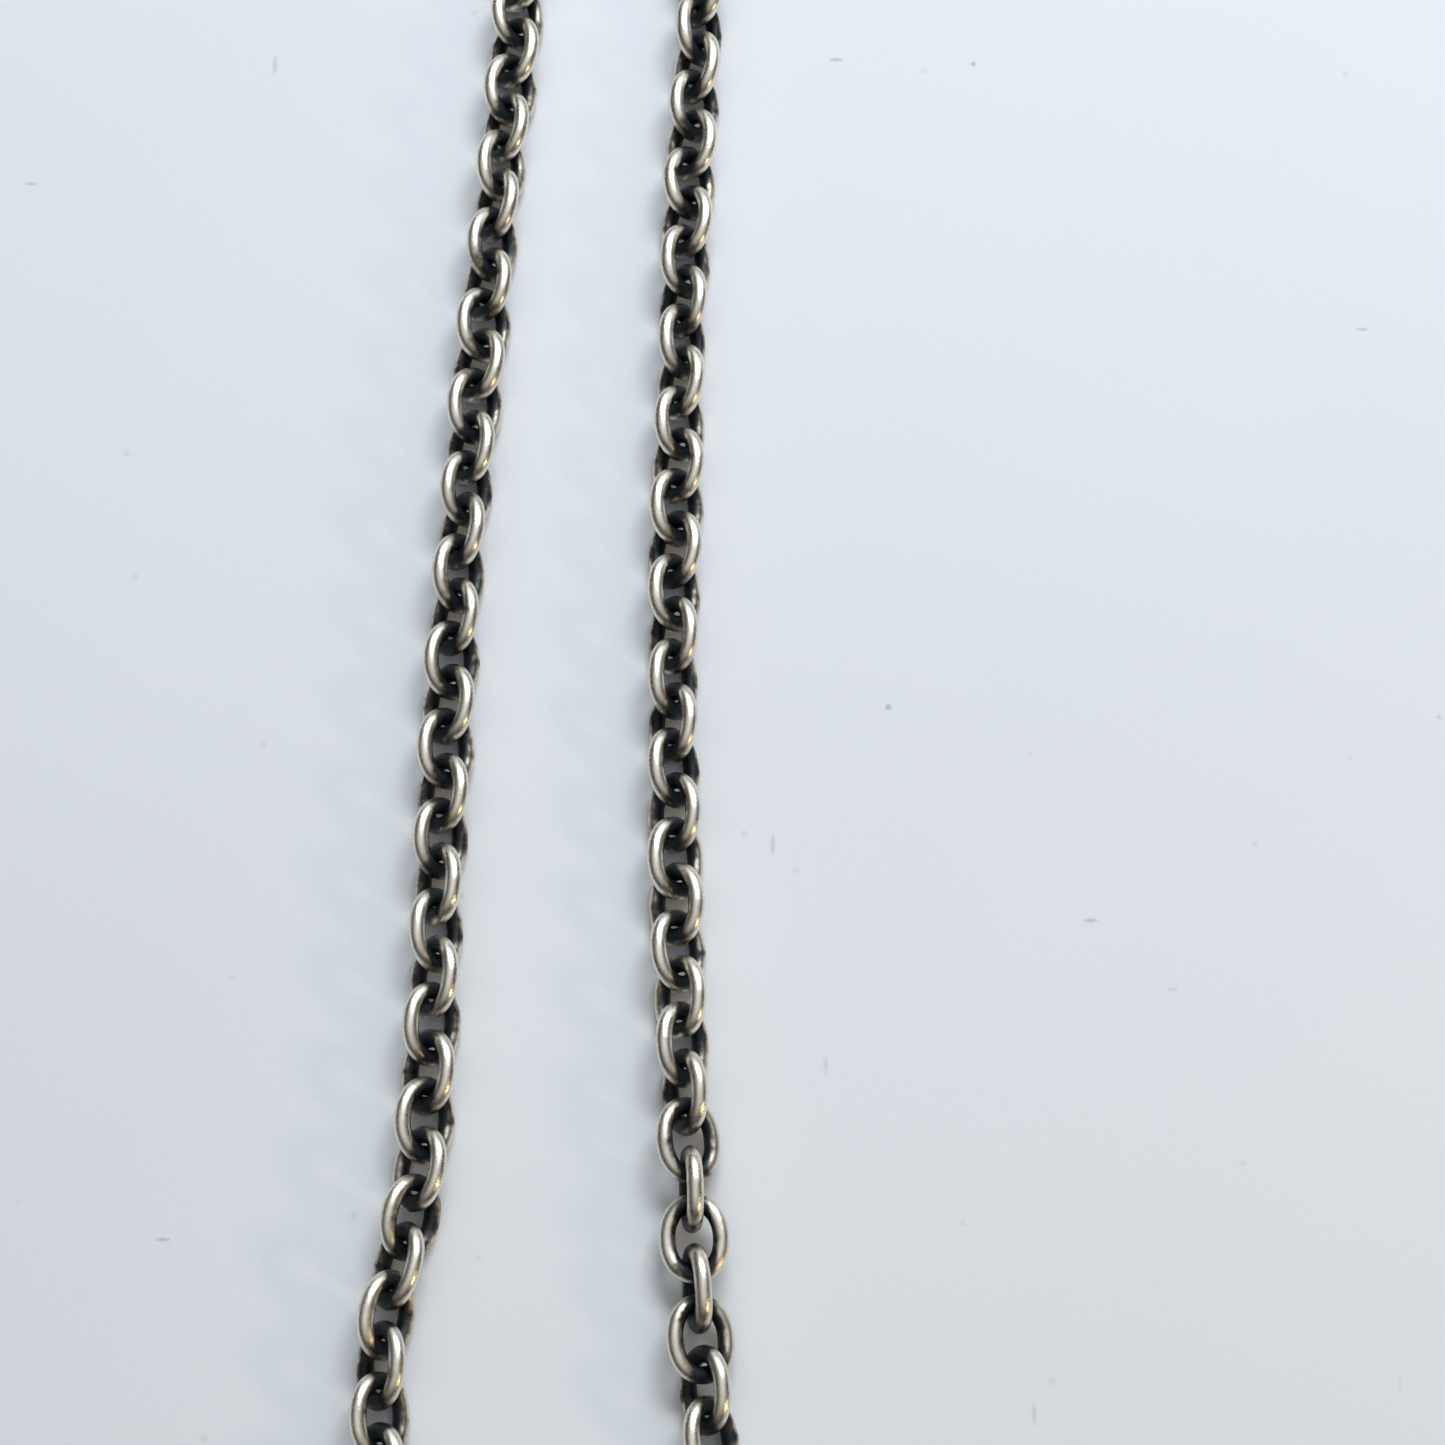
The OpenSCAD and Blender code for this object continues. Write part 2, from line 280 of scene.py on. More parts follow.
WORN_SILVER = (0.87, 0.815, 0.695)
chain_silver = blackened_silver("chain_silver", WORN_SILVER)
ring_silver = blackened_silver("ring_silver", (0.84, 0.81, 0.74), 0.24)
pendant_silver = blackened_silver("pendant_silver", (0.85, 0.815, 0.745), 0.26, (160, 12), 0.04)
clasp_silver = blackened_silver("clasp_silver", (0.84, 0.81, 0.745), 0.25, (140, 14), 0.02)
spring_steel = blackened_silver("spring_steel", (0.60, 0.615, 0.64), 0.22, (120, 10), 0.03)
print("silver finishes made")

# %% [markdown]
# ## Find every wire loop
# One node holds several links, so the node's mesh is first parted into its loose pieces. The
# spread of a piece's surface then gives its three axes: the longest runs along the link, the
# next across it, and the shortest is square to the link's plane. A round ring has no long
# axis, and its plane is all that matters.

# %% Read the loops from the nodes
def loose_pieces(node):
    mesh = nodes[node].data
    points = np.empty(len(mesh.vertices) * 3)
    mesh.vertices.foreach_get("co", points)
    points = points.reshape(-1, 3)
    mesh.calc_loop_triangles()
    faces = np.empty(len(mesh.loop_triangles) * 3, dtype=np.int64)
    mesh.loop_triangles.foreach_get("vertices", faces)
    faces = faces.reshape(-1, 3)
    _, same = np.unique(np.round(points / (0.001 * MM)).astype(np.int64), axis=0,
                        return_inverse=True)
    label = np.arange(same.max() + 1)
    corners = same.reshape(-1)[faces]
    while True:
        low = label[corners].min(axis=1)
        before = label.copy()
        for corner in range(3):
            np.minimum.at(label, corners[:, corner], low)
        label = label[label]
        if (label == before).all():
            break
    piece = label[corners[:, 0]]
    return [points[faces[piece == name]] for name in np.unique(piece)]


def loop_frame(triangles):
    """Centre, axes and half sizes of one loop, from its surface."""
    middle = triangles.mean(axis=1)
    area = np.linalg.norm(np.cross(triangles[:, 1] - triangles[:, 0],
                                   triangles[:, 2] - triangles[:, 0]), axis=1)
    centre = (middle * area[:, None]).sum(axis=0) / area.sum()
    spread = middle - centre
    _, axes = np.linalg.eigh((spread * area[:, None]).T @ spread)
    long_axis, normal = axes[:, 2], axes[:, 0]
    long_axis = long_axis * (1 if long_axis[1] >= 0 else -1)
    normal = normal * (1 if normal[2] >= 0 else -1)
    turn = np.stack([long_axis, np.cross(normal, long_axis), normal])
    local = (triangles.reshape(-1, 3) - centre) @ turn.T
    low, high = local.min(axis=0), local.max(axis=0)
    return {"centre": centre + (low + high) / 2 @ turn, "turn": turn, "half": (high - low) / 2}


loops = {}
for name in nodes:
    if name.startswith("chain_") or name.endswith(("_ring", "_loop", "_rim")):
        loops[name] = [loop_frame(piece) for piece in loose_pieces(name)]
print(sum(len(found) for found in loops.values()), "wire loops;",
      "first link half sizes in mm:", (loops["chain_left_01"][0]["half"] / MM).round(3))

# %% [markdown]
# ## Bend the wire
# A link is a round section carried round an oval. The oval is a rounded form between an
# ellipse and a racetrack, with its points spaced evenly along the wire. No two handmade links
# are alike, so each gets its own slight egg shape and a small thick spot where its ends were
# soldered. The bends may also swell, by a share of the wire that is settled further on.

# %% Link mesh
ROUND_POINTS = 20
LONG_POINTS = 72
SQUARENESS = 2.14               # 2 is an ellipse, and more is nearer a rectangle
SEAM_REACH = 0.22 * MM          # how far the solder swells the wire each way
rng = np.random.default_rng(17)


def oval(half_long, half_wide, squareness, count):
    """Evenly spaced points round an oval centre line, and their outward directions."""
    t = np.linspace(0, 2 * np.pi, 1441)
    c, s = np.cos(t), np.sin(t)
    curve = np.stack([half_long * np.sign(c) * np.abs(c) ** (2 / squareness),
                      half_wide * np.sign(s) * np.abs(s) ** (2 / squareness)], axis=1)
    step = np.r_[0, np.linalg.norm(np.diff(curve, axis=0), axis=1).cumsum()]
    even = np.linspace(0, step[-1], count, endpoint=False)
    points = np.stack([np.interp(even, step, curve[:, 0]), np.interp(even, step, curve[:, 1])], 1)
    ahead = np.roll(points, -1, axis=0) - np.roll(points, 1, axis=0)
    ahead /= np.linalg.norm(ahead, axis=1)[:, None]
    return points, np.stack([ahead[:, 1], -ahead[:, 0]], axis=1), step[-1]


def bent_wire(loop, squareness=SQUARENESS, egg=0.0, seam_at=None, seam_size=0.03,
              count=LONG_POINTS, swell=0.0):
    """Points of one closed wire loop in a grid: along the wire, then round its section."""
    wire_r = loop["half"][2]
    half_long, half_wide = loop["half"][0] - wire_r, loop["half"][1] - wire_r
    line, out, length = oval(half_long, half_wide, squareness, count)
    line = line * (1 + egg * line[:, :1] / half_long * np.array([0, 1]))
    u = np.arange(count) / count
    away = np.abs((u - (0.25 if seam_at is None else seam_at) + 0.5) % 1 - 0.5) * length
    seam = np.exp(-(away / SEAM_REACH) ** 2) * (seam_at is not None)
    at_bend = np.clip(1 - np.abs(line[:, 1]) / half_wide, 0, 1)
    radius = wire_r * (1 + seam_size * seam + swell * at_bend)
    phi = np.arange(ROUND_POINTS) / ROUND_POINTS * 2 * np.pi
    flat = line[:, None] + out[:, None] * (radius[:, None] * np.cos(phi))[..., None]
    local = np.concatenate([flat, (radius[:, None] * np.sin(phi))[..., None]], axis=2)
    inward = np.broadcast_to(-np.cos(phi), (count, ROUND_POINTS))
    side = np.repeat(np.abs(line[:, 1:]) / half_wide, ROUND_POINTS, 1)
    return {"points": local @ loop["turn"] + loop["centre"], "inward": inward, "side": side,
            "seam": np.repeat(seam[:, None], ROUND_POINTS, 1), "length": length}


# %% [markdown]
# ## Find where wires touch
# Tarnish stays where a neighbour covers the wire. Each point of a link is measured against
# the centre lines of the loops near it, and the gap that is left says how hidden it is.

# %% Nearness
NEIGHBOUR_REACH = 4.6 * MM      # loops further apart than this never meet
TOUCHING, CLEAR = 0.12 * MM, 0.87 * MM


def centre_line(loop, count=60):
    wire_r = loop["half"][2]
    line, _, _ = oval(loop["half"][0] - wire_r, loop["half"][1] - wire_r, SQUARENESS, count)
    return np.c_[line, np.zeros(count)] @ loop["turn"] + loop["centre"]


every_loop = [(name, loop) for name, found in loops.items() for loop in found]
centres = np.array([loop["centre"] for _, loop in every_loop])
lines = [centre_line(loop) for _, loop in every_loop]


def neighbours(loop):
    """Places in every_loop of the loops close by, without the loop itself."""
    away = np.linalg.norm(centres - loop["centre"], axis=1)
    return np.flatnonzero((away > 0.1 * MM) & (away < NEIGHBOUR_REACH))


def nearness(points, loop):
    """1 where a point touches a neighbouring wire, falling to 0 about a wire away."""
    gap = np.full(points.shape[:-1], 9.0)
    for other in neighbours(loop):
        flat = points.reshape(-1, 1, 3) - lines[other][None]
        near = np.sqrt((flat ** 2).sum(axis=2)).min(axis=1).reshape(gap.shape)
        gap = np.minimum(gap, near - every_loop[other][1]["half"][2])
    return np.clip(1 - (gap - TOUCHING) / (CLEAR - TOUCHING), 0, 1)


print(len(every_loop), "loops; the first has", len(neighbours(every_loop[0][1])), "close by")

# %% [markdown]
# ## Let the bends swell
# Wire spreads a little where it is bent. Swelling is a share of the wire's radius, which is
# half a millimetre. Two bends that face each other each take half of the slack between them,
# less a hair, so their share is the slack itself in millimetres. Where two nodes hinge the
# swelling is smaller still, so that the wires stay clear when the chain moves.

# %% Swelling of each link
HAIR = 0.06                     # millimetres kept clear between two wires
SWELL, HINGE_SWELL = 0.17, 0.05     # the most that a bend may swell
LINKED = 0.5 * MM               # loops closer than this pass through each other


def slack(index):
    """The narrowest gap, in millimetres, round one loop, and whether it hinges there."""
    name, loop = every_loop[index]
    gaps, hinged = [], False
    for other in neighbours(loop):
        apart = np.linalg.norm(lines[index][:, None] - lines[other][None], axis=2).min()
        gaps.append(apart - loop["half"][2] - every_loop[other][1]["half"][2])
        hinged |= gaps[-1] < LINKED and every_loop[other][0] != name
    return min(gaps, default=0.0) / MM, hinged


for index, (_, loop) in enumerate(every_loop):
    gap, hinged = slack(index)
    loop["swell"] = min(max(gap - HAIR, 0), HINGE_SWELL if hinged else SWELL)
print("wire", round(2 * every_loop[0][1]["half"][2] / MM, 3), "mm thick; bends up to",
      round(1 + max(loop["swell"] for _, loop in every_loop), 3), "times that")

# %% [markdown]
# ## Join the grids into meshes
# Every shape in this lesson is a grid of points: rows along a wire or a profile, columns
# round it. A grid either closes on itself or is capped at its two ends. Outward faces need
# the row direction crossed with the column direction to point out of the metal.

# %% Mesh from grids
def grid_part(points, shelter, seam=0.0, capped=False, length=1.0):
    """Faces, UVs and stored numbers of one grid. The UVs run along the rows."""
    rows, columns = points.shape[:2]
    r, c = np.meshgrid(np.arange(rows - capped), np.arange(columns), indexing="ij")
    r, c = r.ravel(), c.ravel()
    r2, c2 = (r + 1) % rows, (c + 1) % columns
    faces = np.stack([r * columns + c, r2 * columns + c, r2 * columns + c2, r * columns + c2], 1)
    uv = np.stack([np.stack([r, c], 1), np.stack([r + 1, c], 1), np.stack([r + 1, c + 1], 1),
                   np.stack([r, c + 1], 1)], 1) / np.array([rows, columns])
    uv = uv.reshape(-1, 2) * np.array([length / MM / 12, 1])
    faces = faces.tolist()
    if capped:
        faces.append(list(range(columns))[::-1])
        faces.append(list(range((rows - 1) * columns, rows * columns)))
        uv = np.concatenate([uv, np.zeros((2 * columns, 2))])
    fill = np.zeros(rows * columns)
    return {"points": points.reshape(-1, 3), "faces": faces, "uv": uv,
            "shelter": fill + np.ravel(shelter), "seam": fill + np.ravel(seam)}


def add_piece(name, parts, tones=None):
    """One object from several parts, each with its own tone."""
    tones = rng.uniform(0.3, 0.7, len(parts)) if tones is None else tones
    faces, start = [], 0
    for part in parts:
        faces += [[corner + start for corner in face] for face in part["faces"]]
        start += len(part["points"])
    mesh = bpy.data.meshes.new(name)
    mesh.from_pydata(np.concatenate([part["points"] for part in parts]).tolist(), [], faces)
    values = {"shelter": np.concatenate([part["shelter"] for part in parts]),
              "seam": np.concatenate([part["seam"] for part in parts]),
              "tone": np.concatenate([np.full(len(part["points"]), tone)
                                      for part, tone in zip(parts, tones)])}
    for key, value in values.items():
        mesh.attributes.new(key, "FLOAT", "POINT").data.foreach_set("value", value)
    uv = np.concatenate([part["uv"] for part in parts])
    mesh.uv_layers.new(name="wire").data.foreach_set("uv", uv.ravel())
    mesh.shade_smooth()
    made = bpy.data.objects.new(name, mesh)
    bpy.context.scene.collection.objects.link(made)
    return made


def finish_piece(piece, node, material):
    piece.data.materials.append(material)
    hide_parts(node)
    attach(piece, body_of[node])


# %% [markdown]
# ## Build the chain
# Wear follows the shape of each link. Its two sides stand proud and are rubbed bright. Its
# rounded ends and its inner face keep their tarnish, and the side towards the table is darkened as
# painted shade.

# %% Links
def link_tarnish_and_shade(grid, loop):
    side = np.clip((grid["side"] - 0.30) / 0.66, 0, 1)
    end = 1 - side * side * (3 - 2 * side)
    inward = grid["inward"]
    reach = loop["half"][1] - loop["half"][2]
    # painted shade: points lower than the link's middle, towards the table, are darkened
    below = np.clip((loop["centre"][2] - grid["points"][..., 2]) / reach, 0, 1)
    near = nearness(grid["points"], loop) ** 1.3
    # real tarnish from the inner face, the ends and touching wires, plus painted shade below
    return (0.20 + 0.22 * inward + 0.22 * np.clip(inward, 0, 1) ** 2 + 0.40 * end
            + 0.45 * near + 0.26 * below)


for node in sorted(name for name in loops if name.startswith("chain_")):
    parts = []
    for loop in loops[node]:
        seam_at = rng.choice([0.25, 0.75]) + rng.uniform(-0.02, 0.02)
        grid = bent_wire(loop, SQUARENESS + rng.uniform(-0.08, 0.08),
                         rng.uniform(-0.02, 0.02), seam_at, rng.uniform(0.01, 0.04),
                         swell=loop["swell"])
        parts.append(grid_part(grid["points"], link_tarnish_and_shade(grid, loop), grid["seam"],
                               length=grid["length"]))
    piece = add_piece("links_" + node[6:], parts, rng.uniform(0, 1, len(parts)))
    finish_piece(piece, node, chain_silver)
print("chain of", sum(len(loops[name]) for name in loops if name.startswith("chain_")), "links")

# %% [markdown]
# ## Carry a section along a line
# Jump rings are cut, so they are not closed tubes. One helper carries a round section along
# any open or closed line, and another turns a profile about an axis like a lathe. With these
# two come the rings, the spring, the hook, the pin and the domed plate.

# %% Swept and turned shapes
INNER_TARNISH = 0.2             # how much more sheltered the inner side of a bend is


def swept(line, radii, normal, shelter=0.3, closed=False, columns=ROUND_POINTS):
    """A tube along the points of a line. The normal is square to the line's own plane."""
    line, normal = np.asarray(line, float), np.asarray(normal, float)
    ahead = np.gradient(line, axis=0)
    if closed:
        ahead = np.roll(line, -1, axis=0) - np.roll(line, 1, axis=0)
    ahead /= np.linalg.norm(ahead, axis=1)[:, None]
    out = np.cross(ahead, normal)
    out /= np.linalg.norm(out, axis=1)[:, None]
    up = np.cross(out, ahead)
    radii = np.broadcast_to(radii, len(line))[:, None, None]
    phi = (np.arange(columns) / columns * 2 * np.pi)[None, :, None]
    points = line[:, None] + radii * (out[:, None] * np.cos(phi) + up[:, None] * np.sin(phi))
    facing = np.broadcast_to(-np.cos(phi[..., 0]), points.shape[:2])
    length = np.linalg.norm(np.diff(line, axis=0), axis=1).sum()
    return grid_part(points, shelter + INNER_TARNISH * facing, capped=not closed,
                     length=length)


def turned(profile, columns=48, shelter=0.3):
    """Turn a profile of radius and height about Z. It runs from the bottom up the outside."""
    profile = np.asarray(profile, float)
    phi = -np.arange(columns) / columns * 2 * np.pi
    points = np.stack([profile[:, :1] * np.cos(phi), profile[:, :1] * np.sin(phi),
                       np.repeat(profile[:, 1:], columns, 1)], axis=2)
    shelter = np.broadcast_to(np.reshape(shelter, (-1, 1)), points.shape[:2])
    return grid_part(points, shelter, capped=True, length=0.01)


def arc(radius, start, end, count, centre=(0, 0, 0)):
    turn = np.radians(np.linspace(start, end, count))
    flat = np.stack([np.cos(turn), np.sin(turn), np.zeros(count)], axis=1) * radius
    return flat + np.asarray(centre)


def rounded_ends(count, radius, lost=0.35):
    """Radii for a cut wire, a little filed at both ends."""
    radii = np.full(count, float(radius))
    radii[[0, -1]] *= 1 - lost
    radii[[1, -2]] *= 1 - lost * 0.25
    return radii


def placed(part, turn, centre):
    part["points"] = part["points"] @ np.asarray(turn) + np.asarray(centre)
    return part


# %% [markdown]
# ## Rings
# A jump ring is a coil of wire cut once. Its ends meet in a fine butt joint, and the file
# leaves a tiny bevel on each. The end ring and the pendant's loop are soldered, so they close
# with only a slight swelling.

# %% Jump rings, end ring and pendant loop
SLIT, BEVEL = 0.05 * MM, 0.06 * MM


def cut_ring(loop, cut_at, count=90):
    wire_r = loop["half"][2]
    ring_r = loop["half"][0] - wire_r
    gap = math.degrees(SLIT / ring_r)
    near_end = math.degrees(BEVEL / ring_r)
    turn = np.r_[0, near_end, np.linspace(2 * near_end, 360 - gap - 2 * near_end, count),
                 360 - gap - near_end, 360 - gap] + cut_at
    line = np.stack([np.cos(np.radians(turn)), np.sin(np.radians(turn)), 0 * turn], 1) * ring_r
    part = swept(line, rounded_ends(len(line), wire_r, 0.16), (0, 0, 1), 0.27)
    return placed(part, loop["turn"], loop["centre"])


for node, cut_at in (("pendant_jump_ring", 35), ("clasp_jump_ring", 140), ("end_jump_ring", 60)):
    piece = add_piece(node + "_wire", [cut_ring(loops[node][0], cut_at)])
    finish_piece(piece, node, ring_silver)

for node, material, slot in (("end_ring", ring_silver, "ring_silver"),
                             ("pendant_loop", pendant_silver, "pendant_silver"),
                             ("pendant_rim", pendant_silver, "pendant_silver")):
    loop = loops[node][0]
    grid = bent_wire(loop, 2.0, 0.0, 0.62, 0.02, 180 if node == "pendant_rim" else 96)
    near = nearness(grid["points"], loop)
    part = grid_part(grid["points"], 0.27 + 0.24 * grid["inward"] + 0.4 * near, grid["seam"],
                     length=grid["length"])
    finish_piece(add_piece(node + "_wire", [part]), node, material)
print("six rings bent and soldered")

# %% [markdown]
# ## Pendant plate
# The plate is a shallow dome with a flat back. A planishing hammer has left faint overlapping
# dents, each a few hundredths of a millimetre deep. Tarnish gathers against the rim.

# %% Domed plate
PLATE_R, PLATE_T, DOME_RISE = 9.0 * MM, 1.4 * MM, 1.2 * MM
AXIS_R = 0.05 * MM              # the tiny flat that is left in the middle
DENTS, DENT_DEPTH = 150, 0.022 * MM


def domed_plate():
    dome_r = (PLATE_R ** 2 + DOME_RISE ** 2) / (2 * DOME_RISE)
    back = [(r, 0.0) for r in np.linspace(AXIS_R, PLATE_R - 0.15 * MM, 10)]
    edge = [(PLATE_R - 0.03 * MM, 0.03 * MM), (PLATE_R, 0.12 * MM),
            (PLATE_R, PLATE_T - 0.1 * MM)]
    radii = np.linspace(PLATE_R - 0.05 * MM, AXIS_R, 64)
    top = [(r, PLATE_T + DOME_RISE - dome_r + math.sqrt(dome_r ** 2 - r ** 2)) for r in radii]
    profile = np.array(back + edge + top)
    shelter = 0.22 + 0.45 * np.clip((profile[:, 0] / PLATE_R - 0.86) / 0.14, 0, 1) ** 1.5
    part = turned(profile, 160, shelter)
    points = part["points"]
    front = points[:, 2] > PLATE_T * 0.98
    for _ in range(DENTS):
        at = rng.uniform(-0.92, 0.92, 2) * PLATE_R
        size = rng.uniform(0.7, 1.3) * MM
        away = np.linalg.norm(points[:, :2] - at, axis=1)
        points[:, 2] -= front * DENT_DEPTH * np.exp(-(away / size) ** 2)
    corners = np.array([corner for face in part["faces"] for corner in face])
    part["uv"] = points[corners, :2] / MM / 12
    return part


plate = add_piece("pendant_plate", [domed_plate()])
finish_piece(plate, "pendant_disc", pendant_silver)
print("plate", len(plate.data.polygons), "faces")

# %% [markdown]
# ## Bail
# The bail is one strip bent into a pear: narrow round the jump ring and wide round the chain.
# Its edges are softened all the way round.

# %% Bent strip
STRIP_T = 0.8
STRIP_POINTS, EDGE_POINTS = 200, 32
EDGE_POWER = 0.45               # 1 gives a round section, and less a flatter strip
SMALL = (-17.87, 1.75, 0.95)      # y, z and inside radius round the jump ring
BIG = (-22.6, 3.7, 2.9)           # the same round the chain
TAPER_Y = (-21.1, -17.87)
TAPER_HALF_WIDTH = (1.6, 0.5)


def bail_strip():
    (y1, z1, r1), (y2, z2, r2) = SMALL, BIG
    lean = math.atan2(z2 - z1, y2 - y1)
    split = math.acos((r1 - r2) / math.hypot(y2 - y1, z2 - z1))
    ends = [(y2, z2, r2, lean - split, lean + split),
            (y1, z1, r1, lean + split, lean - split + 2 * math.pi)]
    outline = []
    for y, z, r, start, end in ends:
        turn = np.linspace(start, end, 70)
        outline.append(np.stack([y + (r + STRIP_T / 2) * np.cos(turn),
                                 z + (r + STRIP_T / 2) * np.sin(turn)], 1))
    outline = np.concatenate(outline)
    closed = np.concatenate([outline, outline[:1]])
    step = np.r_[0, np.linalg.norm(np.diff(closed, axis=0), axis=1).cumsum()]
    even = np.linspace(0, step[-1], STRIP_POINTS, endpoint=False)
    flat = np.stack([np.interp(even, step, closed[:, 0]), np.interp(even, step, closed[:, 1])], 1)
    ahead = np.roll(flat, -1, axis=0) - np.roll(flat, 1, axis=0)
    ahead /= np.linalg.norm(ahead, axis=1)[:, None]
    out = np.stack([np.zeros(STRIP_POINTS), ahead[:, 1], -ahead[:, 0]], 1)
    half_width = np.interp(flat[:, 0], TAPER_Y, TAPER_HALF_WIDTH)
    phi = np.arange(EDGE_POINTS) / EDGE_POINTS * 2 * np.pi
    across = np.sign(np.cos(phi)) * np.abs(np.cos(phi)) ** EDGE_POWER * STRIP_T / 2
    wide = np.sign(np.sin(phi)) * np.abs(np.sin(phi)) ** EDGE_POWER
    centre = np.c_[np.zeros(STRIP_POINTS), flat]
    points = centre[:, None] + out[:, None] * across[None, :, None]
    points[..., 0] += half_width[:, None] * wide[None]
    inner = np.clip(-across / (STRIP_T / 2), 0, 1)
    shelter = np.broadcast_to(0.20 + 0.34 * inner, points.shape[:2])
    return grid_part(points * MM, shelter, length=step[-1] * MM)


piece = add_piece("bail_strip", [bail_strip()])
finish_piece(piece, "bail", pendant_silver)
low, high = np.array(piece.bound_box).min(axis=0), np.array(piece.bound_box).max(axis=0)
print("bail size in mm", ((high - low) / MM).round(2))

# %% [markdown]
# ## Lobster clasp
# The clasp was cast, so its eye, neck, housing and hook flow into each other. They are made
# as separate solid shapes, melted together with a voxel remesh and smoothed. The slot for
# the lever and the hole for the pin are cut afterwards, which keeps those edges crisp.

# %% Where the clasp lies
joints = {joint["name"]: joint for joint in frame["record"]["behaviour"]["joints"]}
PIVOT = np.array((5.8, 1.5, 0.0))       # the pin, measured from the middle of the eye
across_clasp = np.array(joints["clasp_lift"]["axis"])
outwards = np.cross((0, 0, 1), across_clasp)
clasp_turn = np.stack([outwards, np.cross((0, 0, 1), outwards), (0, 0, 1)])
clasp_origin = np.array(joints["lever_press"]["pos_m"]) - PIVOT @ clasp_turn * MM
print("clasp points towards", outwards.round(3))


# %% Melt solids together
def temporary(part):
    mesh = bpy.data.meshes.new("temporary")
    mesh.from_pydata(part["points"].tolist(), [], part["faces"])
    made = bpy.data.objects.new("temporary", mesh)
    bpy.context.scene.collection.objects.link(made)
    return made


def block(low, high):
    corners = np.array([[x, y, z] for x in (0, 1) for y in (0, 1) for z in (0, 1)])
    points = np.asarray(low) + corners * (np.asarray(high) - np.asarray(low))
    faces = [[0, 1, 3, 2], [4, 6, 7, 5], [0, 4, 5, 1], [2, 3, 7, 6], [0, 2, 6, 4], [1, 5, 7, 3]]
    return {"points": points, "faces": faces}


def upright(radius, low, high, centre, edge=0.02, columns=64):
    """A standing cylinder with softened edges."""
    profile = [(0.02, low), (radius - edge, low), (radius - edge * 0.3, low + edge * 0.3),
               (radius, low + edge), (radius, high - edge),
               (radius - edge * 0.3, high - edge * 0.3), (radius - edge, high), (0.02, high)]
    return placed(turned(profile, columns), np.eye(3), (*centre, 0))


def melt(parts, cutters, voxel, smooth):
    """Join solids by voxels, smooth them, cut them, and return plain points and faces."""
    start, faces = 0, []
    for part in parts:
        faces += [[corner + start for corner in face] for face in part["faces"]]
        start += len(part["points"])
    solid = temporary({"points": np.concatenate([part["points"] for part in parts]),
                       "faces": faces})
    remesh = solid.modifiers.new("melt", "REMESH")
    remesh.mode = "VOXEL"
    remesh.voxel_size = voxel
    soften = solid.modifiers.new("soften", "SMOOTH")
    soften.iterations = smooth
    knives = [temporary(cutter) for cutter in cutters]
    for knife in knives:
        cut = solid.modifiers.new("cut", "BOOLEAN")
        cut.operation = "DIFFERENCE"
        cut.object = knife
    cut_mesh = bpy.data.meshes.new_from_object(
        solid.evaluated_get(bpy.context.evaluated_depsgraph_get()))
    points = np.array([vertex.co for vertex in cut_mesh.vertices])
    faces = [list(polygon.vertices) for polygon in cut_mesh.polygons]
    normals = np.array([vertex.normal for vertex in cut_mesh.vertices])
    for made in [solid, *knives]:
        bpy.data.objects.remove(made)
    return points, faces, normals


# %% [markdown]
# ## Tarnish on castings
# A casting has no wire to follow, so its shelter is found by looking out. From each point a
# few rays leave the surface, and the share that soon strikes metal says how hidden it is.

# %% Look out from each point
LOOKS, LOOK_REACH, OFF_SURFACE = 10, 1.6, 0.03


def looked_out(points, faces, normals):
    tree = BVHTree.FromPolygons(points.tolist(), faces)
    ways = rng.normal(size=(LOOKS, 3))
    ways /= np.linalg.norm(ways, axis=1)[:, None]
    hits = np.zeros(len(points))
    for way in ways:
        aims = way + normals * 1.1
        for index, (point, aim, normal) in enumerate(zip(points, aims, normals)):
            start = Vector(point + normal * OFF_SURFACE)
            hits[index] += tree.ray_cast(start, Vector(aim), LOOK_REACH)[0] is not None
    return hits / LOOKS


def casting(name, node, parts, cutters, voxel, smooth, material):
    points, faces, normals = melt(parts, cutters, voxel, smooth)
    hidden = looked_out(points, faces, normals)
    corners = np.array([corner for face in faces for corner in face])
    part = {"points": points @ clasp_turn * MM + clasp_origin, "faces": faces,
            "uv": points[corners, :2] / 12, "shelter": 0.20 + 0.62 * hidden,
            "seam": np.zeros(len(points))}
    piece = add_piece(name, [part])
    piece.data.set_sharp_from_angle(angle=math.radians(40))
    finish_piece(piece, node, material)
    print(name, len(faces), "faces")


# %% Clasp body
EYE_R, EYE_WIRE = 1.6, 1.1
HOUSING_X, HOUSING_R, HOUSING_T = 5.2, 2.6, 3.2
HOOK_X, HOOK_R, HOOK_T = 9.6, 3.0, 1.7
HOOK_TIP = 68                   # the hook's end, in degrees round its own centre
BALL_R, PIN_HOLE_R, CUT_THROUGH = 0.9, 0.40, 5
ALONG_X = np.array([[0, 0, -1], [0, 1, 0], [1, 0, 0]])

eye = swept(arc(EYE_R, 0, 355, 72), EYE_WIRE / 2, (0, 0, 1), closed=True)
neck = placed(turned([(0.02, 1.55), (0.8, 1.6), (0.95, 2.2), (1.3, 3.3), (0.02, 3.6)]),
              ALONG_X, (0, 0, 0))
housing = upright(HOUSING_R, -HOUSING_T / 2, HOUSING_T / 2, (HOUSING_X, 0), edge=0.45)
hook = swept(arc(HOOK_R, -155, HOOK_TIP, 90, (HOOK_X, 0, 0)), HOOK_T / 2, (0, 0, 1))
tip_at = arc(HOOK_R, HOOK_TIP, HOOK_TIP, 1, (HOOK_X, 0, 0))[0]
ball = [(BALL_R * math.cos(a), BALL_R * math.sin(a))
        for a in np.radians(np.linspace(-88, 88, 23))]
tip = placed(turned(ball), np.eye(3), tip_at)
slot_cut = block((3.7, 0.3, -0.75), (9.7, 6.3, 0.75))
pin_hole = upright(PIN_HOLE_R, -CUT_THROUGH, CUT_THROUGH, PIVOT[:2])
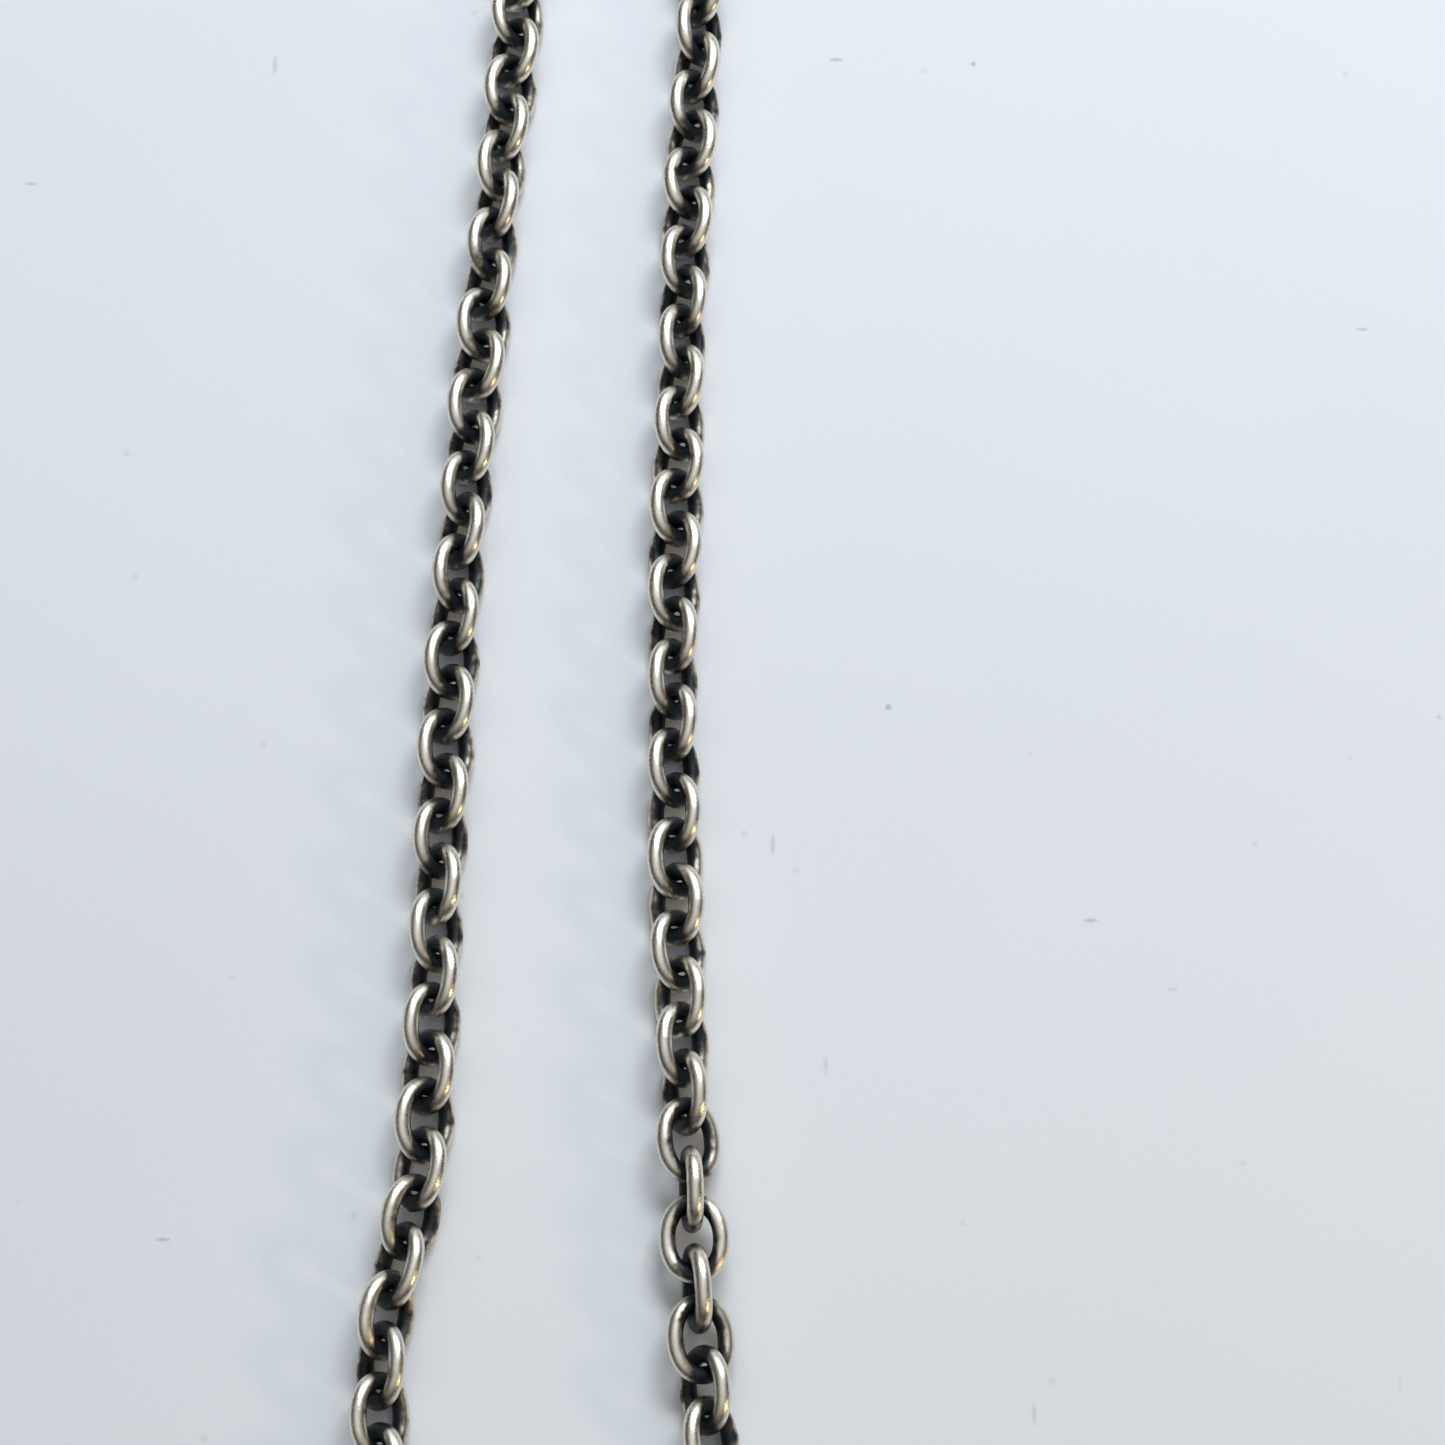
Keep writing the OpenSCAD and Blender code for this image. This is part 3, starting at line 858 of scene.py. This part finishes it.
casting("clasp_casting", "clasp_body", [eye, neck, housing, hook, tip], [slot_cut, pin_hole],
        0.085, 5, clasp_silver)

# %% Clasp lever
LEVER_R, LEVER_HOLE_R = 0.6, 0.45
LEVER_LOW, LEVER_HIGH = -0.1, 0.6
STALK_WAY, STALK_R = math.radians(123), 0.35
KNOB_SIZE = 2 / 3               # of the hook's ball

lever_line = arc(HOOK_R, 150, 89.5, 40, (HOOK_X, 0, 0))
lever_radii = np.full(40, LEVER_R)
lever_radii[-5:] = (0.57, 0.53, 0.46, 0.36, 0.2)
lever_arc = swept(lever_line, lever_radii, (0, 0, -1))
hub = upright(0.95, LEVER_LOW, LEVER_HIGH, PIVOT[:2], edge=0.05)
web = block((5.8, 1.0, LEVER_LOW), (7.4, 2.0, LEVER_HIGH))
push = np.array((math.cos(STALK_WAY), math.sin(STALK_WAY), 0))
mid_height = np.array((0, 0, (LEVER_LOW + LEVER_HIGH) / 2))
stalk_line = PIVOT + mid_height + push * np.linspace(0.3, 2.6, 12)[:, None]
stalk = swept(stalk_line, STALK_R, (0, 0, 1))
knob = placed(turned(np.array(ball) * KNOB_SIZE), np.eye(3), stalk_line[-1])
lever_hole = upright(LEVER_HOLE_R, -CUT_THROUGH, CUT_THROUGH, PIVOT[:2])
casting("clasp_thumb_lever", "clasp_lever", [lever_arc, hub, web, stalk, knob],
        [lever_hole], 0.055, 3, clasp_silver)

# %% [markdown]
# ## Pin and spring
# The pin is riveted flush, with a slight dome at each end. Its spring is one and a half turns
# of fine wire beside the lever, with both legs resting in the slot.

# %% Pin and torsion spring
PIN_R, PIN_HALF = 0.38, 1.6
pin = turned([(0.02, -PIN_HALF), (0.22, -PIN_HALF + 0.02), (0.34, -PIN_HALF + 0.07),
              (PIN_R, -PIN_HALF + 0.16), (PIN_R, PIN_HALF - 0.16), (0.34, PIN_HALF - 0.07),
              (0.22, PIN_HALF - 0.02), (0.02, PIN_HALF)], 32, 0.35)
pin = placed(pin, np.eye(3), PIVOT)
finish_piece(add_piece("clasp_rivet", [placed(pin, clasp_turn * MM, clasp_origin)]),
             "clasp_pin", spring_steel)

COIL_R, COIL_WIRE_R, LEG = 0.62, 0.08, 1.15
COIL_LOW, COIL_HIGH, COIL_POINTS = -0.56, -0.26, 110
turn = np.radians(np.linspace(180, -360, COIL_POINTS))
coil = np.stack([np.cos(turn) * COIL_R, np.sin(turn) * COIL_R,
                 np.linspace(COIL_LOW, COIL_HIGH, COIL_POINTS)], 1)
legs = np.linspace(1, 0.05, 12)[:, None] * np.array((0, -LEG, 0))
spring_line = PIVOT + np.concatenate([coil[0] + legs, coil, coil[-1] + legs[::-1]])
spring = swept(spring_line, rounded_ends(len(spring_line), COIL_WIRE_R), (0, 0, -1), columns=12)
finish_piece(add_piece("clasp_coil", [placed(spring, clasp_turn * MM, clasp_origin)]),
             "clasp_spring", spring_steel)
print("clasp complete")
